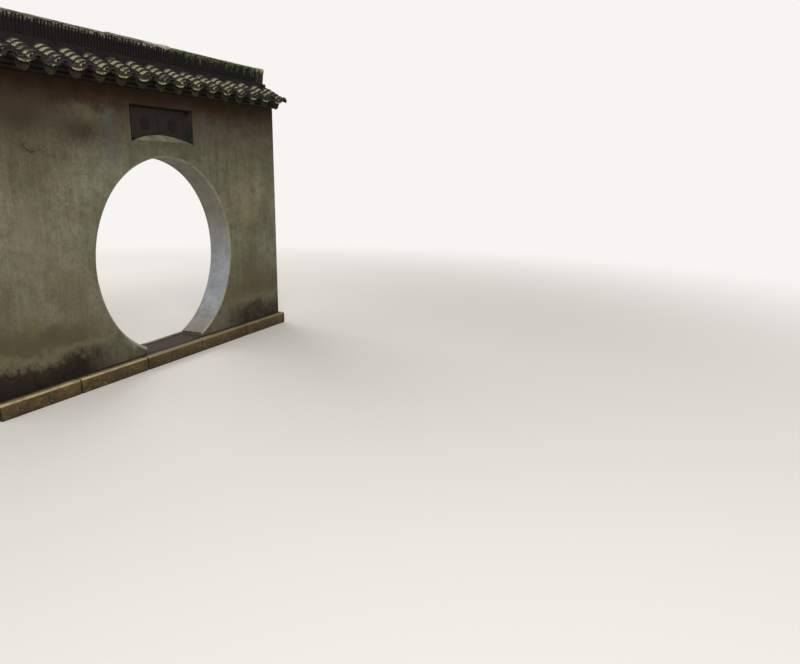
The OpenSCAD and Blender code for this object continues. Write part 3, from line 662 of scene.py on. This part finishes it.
def worn_copy(node, steps, depth, scale, rounding=0):
    """A copy of a CAD node, cut fine and with its skin worn."""
    bm = cad_copy(node)
    if rounding:
        soften(bm, rounding, 3)
    slice_up(bm, node, steps)
    wear(bm, node, depth, scale)
    return bm


corbel_plaster = stained_mortar("run_corbel_plaster", "#271d15", "#17110c", "#352a1f")
for node in ("front_corbel_lower", "front_corbel_upper", "back_corbel_lower", "back_corbel_upper"):
    moulding = worn_copy(node, (0.05, 0, 0), depth=0.003, scale=7)
    finish_piece(node + "_run", moulding, corbel_plaster, node, 38)

bed_mortar = stained_mortar("weathered_bed_mortar", "#3a352b", "#211d16", "#545041")
for node in ("roof_bed", "left_verge", "right_verge"):
    strip = worn_copy(node, (0.05, 0.04, 0), depth=0.004, scale=11)
    finish_piece(node + "_mortar", strip, bed_mortar, node, 38)


# Roof tiles: curved grey clay tiles, thrown and fired dark, five to a row. Each slips its head
# under the one above and sits a little crooked, with lichen on the steps that catch the rain, laid out as
# painted light: pale on the covers' lit left flanks, with bare dark bands and pans as painted shade.
ROOF_PITCH, RIDGE_W, SEAT_GAP = math.radians(26), 0.190, 0.0004
TILE_PITCH, PAN_ROWS, LAPS, LAP_RISE = 0.262, 16, 5, 0.004
PAN_R, PAN_T, PAN_HALF = 0.160, 0.013, 0.110
COVER_R, COVER_T, COVER_HALF = 0.090, 0.012, 0.075
OVERLAP, PAN_TILT, COVER_TILT = 0.012, 0.010, 0.009
ASIDE, SLIP, CROOKED, WIDTHS = 0.003, 0.004, 0.026, (0.97, 1.02)
eave_y = -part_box("front_pan_rows")[0].y
slope_eave = eave_y / math.cos(ROOF_PITCH)
slope_ridge = RIDGE_W / 2 / math.cos(ROOF_PITCH) + SEAT_GAP
lap = (slope_eave - slope_ridge) / LAPS
tile_length = lap + OVERLAP
# The covers' lower edges rest on the pans
cover_in_x = (COVER_R - COVER_T) * COVER_HALF / COVER_R
pan_top = PAN_R - math.sqrt((PAN_R - PAN_T) ** 2 - (TILE_PITCH / 2 - cover_in_x) ** 2)
cover_c = pan_top + SEAT_GAP - (COVER_R - COVER_T) * math.cos(math.asin(COVER_HALF / COVER_R))
front_slope = Matrix.Translation((0, 0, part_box("roof_bed")[1].z)) @ Matrix.Rotation(ROOF_PITCH, 4, "X")
back_slope = Matrix.Rotation(math.pi, 4, "Z") @ front_slope


def curved_tile(radius, half, thickness, centre):
    """One tile with its lower end at y 0: an arc drawn out along y and given its thickness inward. A
    pan's centre lies above it, and a cover's below."""
    bm = bmesh.new()
    side = -1 if centre > 0 else 1
    start = bmesh.ops.create_vert(bm, co=(-half, 0, side * math.sqrt(radius ** 2 - half ** 2)))["vert"]
    turn = 2 * math.asin(half / radius)
    bmesh.ops.spin(bm, geom=start, cent=(0, 0, 0), axis=(0, side, 0), angle=turn, steps=9)
    for y in (0, tile_length / 2):
        edges = [e for e in bm.edges if all(abs(v.co.y - y) < 1e-6 for v in e.verts)]
        new = bmesh.ops.extrude_edge_only(bm, edges=edges)["geom"]
        end = [g for g in new if isinstance(g, bmesh.types.BMVert)]
        bmesh.ops.translate(bm, vec=(0, tile_length / 2, 0), verts=end)
    bmesh.ops.recalc_face_normals(bm, faces=bm.faces)
    bmesh.ops.solidify(bm, geom=bm.faces[:], thickness=thickness)
    bmesh.ops.recalc_face_normals(bm, faces=bm.faces)
    bmesh.ops.translate(bm, vec=(0, 0, centre), verts=bm.verts)
    mesh = bpy.data.meshes.new("tile_template")
    bm.to_mesh(mesh)
    bm.free()
    return mesh


def lay_tiles(template, middles, tilt, slope, seed):
    """Lays a template's copies up a slope, five to a row, each a little crooked."""
    random.seed(seed)
    bm = bmesh.new()
    along, across, tone = (bm.verts.layers.float.new(layer) for layer in ("along", "across", "tone"))
    for x in middles:
        for k in range(LAPS):
            first = len(bm.verts)
            bm.from_mesh(template)
            bm.verts.ensure_lookup_table()
            new = bm.verts[first:]
            shade = random.random()
            for v in new:
                v[along] = 1 - v.co.y / tile_length
                v[across] = v.co.x / TILE_PITCH * 2
                v[tone] = shade
            aside = random.uniform(-ASIDE, ASIDE)
            slip = random.uniform(-SLIP if k else 0, SLIP)
            turn = random.uniform(-CROOKED, CROOKED)
            width = random.uniform(*WIDTHS)
            place = Matrix.Translation((x + aside, -slope_eave + k * lap + slip, k * LAP_RISE)) \
                @ Matrix.Rotation(turn, 4, "Z") @ Matrix.Rotation(-math.asin(tilt / tile_length), 4, "X") \
                @ Matrix.Diagonal((width, 1, 1, 1))
            bmesh.ops.transform(bm, matrix=slope @ place, verts=new)
    return bm


def tile_clay(name, full_at, none_at, spread, on_lip):
    """Clay that smoke in the kiln has turned dull and nearly black. Lichen thins out across a tile between
    two places, 0 at its middle and 1 halfway to the next row. Spread says how much there is, and on_lip
    how much on the eaves' lips."""
    clay = new_material(name, roughness=0.88)
    place = add(clay, "TexCoord", out="Object")
    along, across, tone = (
        add(clay, "Attribute", out="Fac", attribute_name=layer) for layer in ("along", "across", "tone"))
    patches = add(clay, "TexNoise", {"Vector": place, "Scale": 19, "Detail": 7, "Roughness": 0.7})
    fine = add(clay, "TexNoise", {"Vector": place, "Scale": 110, "Detail": 6, "Roughness": 0.75})
    body = add(clay, "ValToRGB", [tone], stops=[(0.0, "#191914"), (0.6, "#232320"), (1.0, "#2f2e28")])
    grime = add(clay, "ValToRGB", [fine], stops=[(0.35, 0.7), (0.56, 0.0)])

    # Where lichen may grow: the open length short of the bare lower edge, and the middle of the lips. Its
    # patches are about 50 mm across, and its tufts 9. The bare upper part and lower edge of each step stay
    # dark as painted shade.
    head = along
    for source, share in ((patches, 0.45), (across, -0.55)):
        head = add(clay, "Math", [source, share, head], operation="MULTIPLY_ADD")
    uneven = add(clay, "Math", [patches, 0.5, across], operation="MULTIPLY_ADD")
    outward = add(clay, "Math", [add(clay, "SeparateXYZ", [place], out="Y")], operation="ABSOLUTE")
    off_middle = add(clay, "Math", [across], operation="ABSOLUTE")
    # Flank keeps a cover's lichen to its left side, which faces the light: painted light
    head, edge, lit_flank, lip, middle, lowest, near_ridge = (add(clay, "MapRange", reach) for reach in (
        (head, 0.79, 0.94), (along, 0.95, 0.87), (uneven, none_at, full_at), (along, 0.965, 0.99),
        (off_middle, 0.50, 0.34), (outward, eave_y - 0.022, eave_y - 0.018, 0, on_lip),
        (outward, 0.30, 0.14, 0, 0.65)))
    for share in (edge, lit_flank, spread):
        head = add(clay, "Math", [head, share], operation="MULTIPLY")
    for share in (middle, lowest):
        lip = add(clay, "Math", [lip, share], operation="MULTIPLY")
    amount = add(clay, "Math", [head, lip], operation="MAXIMUM")
    growth = patches
    for source, share in ((fine, 0.4), (tone, 0.22)):
        growth = add(clay, "Math", [source, share, growth], operation="MULTIPLY_ADD")
    cover = add(clay, "MapRange", [growth, 0.70, 0.82])
    cover = add(clay, "Math", [cover, amount], operation="MULTIPLY")
    lichen = add(clay, "ValToRGB", [fine], stops=[(0.38, "#6d6e42"), (0.50, "#93935f"), (0.62, "#b0ae80")])
    lichen = add(clay, "Mix", {0: near_ridge, 6: lichen, 7: "#9c937c"})
    colour = add(clay, "Mix", {0: grime, 6: body, 7: "#11110e"})
    add(clay, "Mix", {0: cover, 6: colour, 7: lichen}, to="Base Color")
    swelling = add(clay, "Bump", {"Height": patches, "Distance": 0.006, "Strength": 0.6})
    add(clay, "Bump", {"Height": fine, "Distance": 0.004, "Strength": 0.9, "Normal": swelling}, to="Normal")
    return clay


# A pan's lichen doesn't thin out across it, and a cover has none on its lip. Pans get little, so they stay
# dark as painted shade of the covers
pan_clay = tile_clay("grey_pan_tile_with_painted_shade", full_at=3, none_at=4, spread=0.12, on_lip=1.0)
cover_clay = tile_clay("lichened_grey_cover_tile", full_at=0.05, none_at=0.42, spread=1.0, on_lip=0.0)
pan_template = curved_tile(PAN_R, PAN_HALF, PAN_T, PAN_R)
cover_template = curved_tile(COVER_R, COVER_HALF, COVER_T, cover_c)
pan_middles = [(i - (PAN_ROWS - 1) / 2) * TILE_PITCH for i in range(PAN_ROWS)]
cover_middles = [(i - PAN_ROWS / 2) * TILE_PITCH for i in range(PAN_ROWS + 1)]
for side, slope, pan_seed, cover_seed in (("front", front_slope, 11, 21), ("back", back_slope, 12, 22)):
    pans = lay_tiles(pan_template, pan_middles, PAN_TILT, slope, pan_seed)
    finish_piece(side + "_pan_tiles", pans, pan_clay, side + "_pan_rows", 45)
    covers = lay_tiles(cover_template, cover_middles, COVER_TILT, slope, cover_seed)
    finish_piece(side + "_cover_tiles", covers, cover_clay, side + "_cover_rows", 45)


# Eave tiles: moulded clay. Each drip tile ends in a pointed tongue with a raised rim and a
# small bud, and each cover row in a scalloped rim.
TONGUE_RIM, RIM_SLOPE, FIELD_DEPTH, LACE_ROUNDING = 0.008, 0.003, 0.003, 0.0025
BUD_HEIGHT, BUD_RING, BUD_SIZE = 0.052, 0.011, (0.0065, 0.0028, 0.0065)
# The tongues and rims are painted nearly black: painted shade under the eaves, over the clay's own dark grey
eave_clay = stained_mortar("moulded_grey_eave_tile", "#1e1c14", "#110f0b", "#36331f", 22, 0.003)
rim_clay = stained_mortar("moulded_dark_rim_tile", "#161512", "#0e0d0b", "#24231d", 22, 0.003)
for side, outward in (("front", -1), ("back", 1)):
    node = side + "_drip_tiles"
    low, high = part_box(node)
    field_y = (low.y if outward < 0 else high.y) - outward * FIELD_DEPTH
    tongues = cad_copy(node)
    tongues.normal_update()
    faces = [f for f in tongues.faces if f.normal.y * outward > 0.99]
    for width, depth in ((TONGUE_RIM, 0), (RIM_SLOPE, -FIELD_DEPTH)):
        bmesh.ops.inset_individual(tongues, faces=faces, thickness=width, depth=depth, use_even_offset=True)
    for x in pan_middles:
        for i in range(6):
            turn = math.radians(90) + i * math.tau / 5
            way = BUD_RING if i < 5 else 0
            bud = bmesh.ops.create_icosphere(tongues, subdivisions=1, radius=1)["verts"]
            bmesh.ops.scale(tongues, vec=BUD_SIZE, verts=bud)
            bmesh.ops.translate(tongues, verts=bud, vec=(
                x + way * math.cos(turn), field_y, low.z + BUD_HEIGHT + way * math.sin(turn)))
    finish_piece(side + "_drip_tongues", tongues, eave_clay, node)
    rims = cad_copy(side + "_lace_tiles")
    soften(rims, LACE_ROUNDING)
    finish_piece(side + "_lace_rims", rims, rim_clay, side + "_lace_tiles")


# Ridge: a mortar base course, clay tiles set on edge like books and pushed over toward the
# right end, mortar between them that swells into teeth under an uneven cap of three lengths.
UPRIGHT_T, UPRIGHT_PITCH, UPRIGHT_CUTS, LEAN = 0.016, 0.036, 3, 0.62
LEAN_START, LEAN_GROWS, LEAN_ENDS, LEAN_EASES = 0.7, 0.6, 0.06, 0.30
# The base course is painted nearly black: painted shade of the ridge's face
ridge_mortar = stained_mortar("dark_ridge_mortar", "#1a1814", "#0f0d0b", "#29261f")
base = worn_copy("ridge_base", (0.05, 0, 0.03), depth=0.004, scale=9)
finish_piece("ridge_base_course", base, ridge_mortar, "ridge_base", 45)

# The tiles on edge are dull and painted nearly black as the ridge's shade, with tufts of moss about 25 mm
# across on their heads
ridge_clay = stained_mortar("ridge_tile_with_painted_shade", "#131211", "#0b0a09", "#221f1c", 30, 0.003)
ridge_place = add(ridge_clay, "TexCoord", out="Object")
ridge_patches = add(ridge_clay, "TexNoise", {"Vector": ridge_place, "Scale": 40, "Detail": 5})
ridge_tuft = add(ridge_clay, "MapRange", [ridge_patches, 0.36, 0.60])
ridge_moss = add(ridge_clay, "Attribute", out="Fac", attribute_name="moss")
ridge_moss = add(ridge_clay, "Math", [ridge_moss, ridge_tuft], operation="MULTIPLY")
add(ridge_clay, "Mix", {0: ridge_moss, 6: shown(ridge_clay), 7: "#727b4f"}, to="Base Color")
up_low, up_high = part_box("ridge_upright_tiles")
up_size, up_middle = up_high - up_low, (up_low + up_high) / 2
uprights = bmesh.new()
moss = uprights.verts.layers.float.new("moss")
random.seed(31)
for i in range(round((up_size.x - UPRIGHT_T) / UPRIGHT_PITCH) + 1):
    x = up_low.x + UPRIGHT_T / 2 + i * UPRIGHT_PITCH
    tile = bmesh.ops.create_cube(uprights, size=1)["verts"]
    edges = {e for v in tile for e in v.link_edges}
    long_edges = [e for e in edges if abs(e.verts[0].co.z - e.verts[1].co.z) > 0.5]
    bmesh.ops.subdivide_edges(uprights, edges=long_edges, cuts=UPRIGHT_CUTS, use_grid_fill=True)
    uprights.verts.ensure_lookup_table()
    narrow, turn, lift = random.uniform(0.75, 1.0), random.uniform(-0.03, 0.03), random.uniform(0, 0.004)
    depth = up_size.y / 2 - random.uniform(0, 0.006)
    bow = random.uniform(0.002, 0.006)
    lean = LEAN * eased((x - LEAN_START) / LEAN_GROWS) * held((up_high.x - LEAN_ENDS - x) / LEAN_EASES)
    lean += random.uniform(-0.03, 0.03)
    # Moss grows on the heads of some tiles, and on more of them toward the right end
    clump = 2.4 * noise.noise(Vector((i * 1.37, 5.2, 0.4))) - 0.1
    mossy = held((x - 0.3) / 0.5) * min(0.85, max(0.05, clump))
    for v in uprights.verts[-(8 + 4 * UPRIGHT_CUTS):]:
        z = v.co.z + 0.5
        v[moss] = mossy * held((z - 0.4) / 0.4)
        side = v.co.x * UPRIGHT_T * narrow
        v.co = Vector((x + side + lean * z * up_size.z + bow * (1 - (2 * z - 1) ** 2) + turn * v.co.y * 0.1,
                       v.co.y * 2 * depth, up_low.z + z * (up_size.z - lift)))
for v in uprights.verts:
    v.co.x = min(max(v.co.x, up_low.x - 0.008), up_high.x + 0.008)
finish_piece("ridge_tiles_on_edge", uprights, ridge_clay, "ridge_upright_tiles")

# The mortar squeezed out under the cap hangs between the tiles' heads in teeth about 40 mm apart
MORTAR_BACK, TEETH, TEETH_ALONG = 0.016, 0.028, 430
teeth = bmesh.new()
bmesh.ops.create_grid(teeth, x_segments=TEETH_ALONG, y_segments=1, size=0.5)
bmesh.ops.scale(teeth, vec=(up_size.x, up_size.y - 0.003, 1), verts=teeth.verts)
bmesh.ops.translate(teeth, vec=(up_middle.x, 0, up_high.z), verts=teeth.verts)
lower = bmesh.ops.extrude_face_region(teeth, geom=teeth.faces[:])["geom"]
for v in [g for g in lower if isinstance(g, bmesh.types.BMVert)]:
    v.co.z -= TEETH * (0.55 + 0.9 * noise.fractal(Vector((v.co.x * 24, v.co.y * 30, 0)), 0.7, 2.0, 3))
    v.co.y *= 0.94
core = bmesh.ops.create_cube(teeth, size=1)["verts"]
bmesh.ops.scale(teeth, verts=core, vec=(up_size.x, up_size.y - 2 * MORTAR_BACK, up_size.z - 0.002))
bmesh.ops.translate(teeth, verts=core, vec=(up_middle.x, 0, up_middle.z))
# The mortar's core is painted nearly black as the ridge's shade; only the teeth are pale
teeth_mortar = stained_mortar("limed_ridge_teeth_mortar", "#171512", "#0d0c0a", "#23201b")
teeth_place = add(teeth_mortar, "TexCoord", out="Object")
teeth_x, teeth_z = (add(teeth_mortar, "SeparateXYZ", [teeth_place], out=axis) for axis in "XZ")
teeth_along = add(teeth_mortar, "MapRange", [teeth_x, -2, 2])
teeth_tone = add(teeth_mortar, "ValToRGB", [teeth_along], stops=[
    (0.0, "#78755f"), (1.0, "#62643f"), (0.48, "#85826c"), (0.51, "#a79f8f"), (0.58, "#b0a797"),
    (0.592, "#66684a")])
teeth_up = add(teeth_mortar, "MapRange", [teeth_z, up_high.z - 0.045, up_high.z - 0.020])
add(teeth_mortar, "Mix", {0: teeth_up, 6: shown(teeth_mortar), 7: teeth_tone}, to="Base Color")
finish_piece("ridge_mortar_teeth", teeth, teeth_mortar, "ridge_mortar", 45)

# The newest mend is paler, and swells from nothing at its left end to a blunt right one
MEND_X0, MEND_X1, MEND_SWELLS, MEND_BLUNT, KNUCKLE = 0.0, 0.355, 0.265, 0.02, 0.013
for node, slot, colours, depth, scale in (
        ("ridge_cap_left", "cap_mortar", ("#726f5f", "#4b473a", "#918d79"), 0.005, 11),
        ("ridge_cap_mended", "mended_mortar", ("#7f7c68", "#5f5b49", "#9b9784"), 0.003, 8),
        ("ridge_cap_right", "mossy_mortar", ("#7f8360", "#52563a", "#a6a983"), 0.007, 14)):
    low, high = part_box(node)
    cap = worn_copy(node, (0.018, 0.03, 0.012), depth, scale)
    for v in cap.verts:
        if v.co.z < low.z + 0.002 and abs(v.co.y) > up_size.y / 2:
            v.co.z -= depth * (0.8 + noise.noise(v.co * 30))
        swell = held((v.co.x - MEND_X0) / MEND_SWELLS) ** 2 * held((MEND_X1 - v.co.x) / MEND_BLUNT)
        v.co.y += math.copysign(KNUCKLE, v.co.y) * swell
        v.co.z += KNUCKLE * swell * (0.4 if v.co.z > (low.z + high.z) / 2 else -1)
    mortar = stained_mortar("weathered_" + slot, *colours, scale=13, relief_m=0.005)
    place = add(mortar, "TexCoord", out="Object")
    patches = add(mortar, "TexNoise", {"Vector": place, "Scale": 25, "Detail": 5})
    along = add(mortar, "SeparateXYZ", [place], out="X")
    along = add(mortar, "Math", [patches, 0.06, along], operation="MULTIPLY_ADD")
    mend_left = add(mortar, "MapRange", [along, MEND_X0 - 0.03, MEND_X0 + 0.09])
    mend_right = add(mortar, "MapRange", [along, MEND_X1 + 0.034, MEND_X1 + 0.026])
    mend = add(mortar, "Math", [mend_left, mend_right], operation="MULTIPLY")
    mend_tone = add(mortar, "ValToRGB", [patches], stops=[(0.35, "#948b7a"), (0.65, "#bdb5a5")])
    add(mortar, "Mix", {0: mend, 6: shown(mortar), 7: mend_tone}, to="Base Color")
    finish_piece(node + "_mortar", cap, mortar, node, 50)

for node, slot, pale in (
        ("ridge_end_left", "cap_mortar", "#8d8976"), ("ridge_end_right", "mossy_mortar", "#a59d74")):
    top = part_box(node)[1].z
    block = worn_copy(node, (0.025, 0.025, 0.025), depth=0.005, scale=12, rounding=0.010)
    mortar = stained_mortar("moulded_" + node, "#2f2c23", "#1b1914", "#4a4636", scale=15)
    place = add(mortar, "TexCoord", out="Object")
    patches = add(mortar, "TexNoise", {"Vector": place, "Scale": 16, "Detail": 6})
    height = add(mortar, "SeparateXYZ", [place], out="Z")
    height = add(mortar, "Math", [patches, 0.10, height], operation="MULTIPLY_ADD")
    height = add(mortar, "MapRange", [height, top - 0.01, top + 0.035])
    add(mortar, "Mix", {0: height, 6: shown(mortar), 7: pale}, to="Base Color")
    finish_piece(node + "_block", block, mortar, node, 45)


low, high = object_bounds()
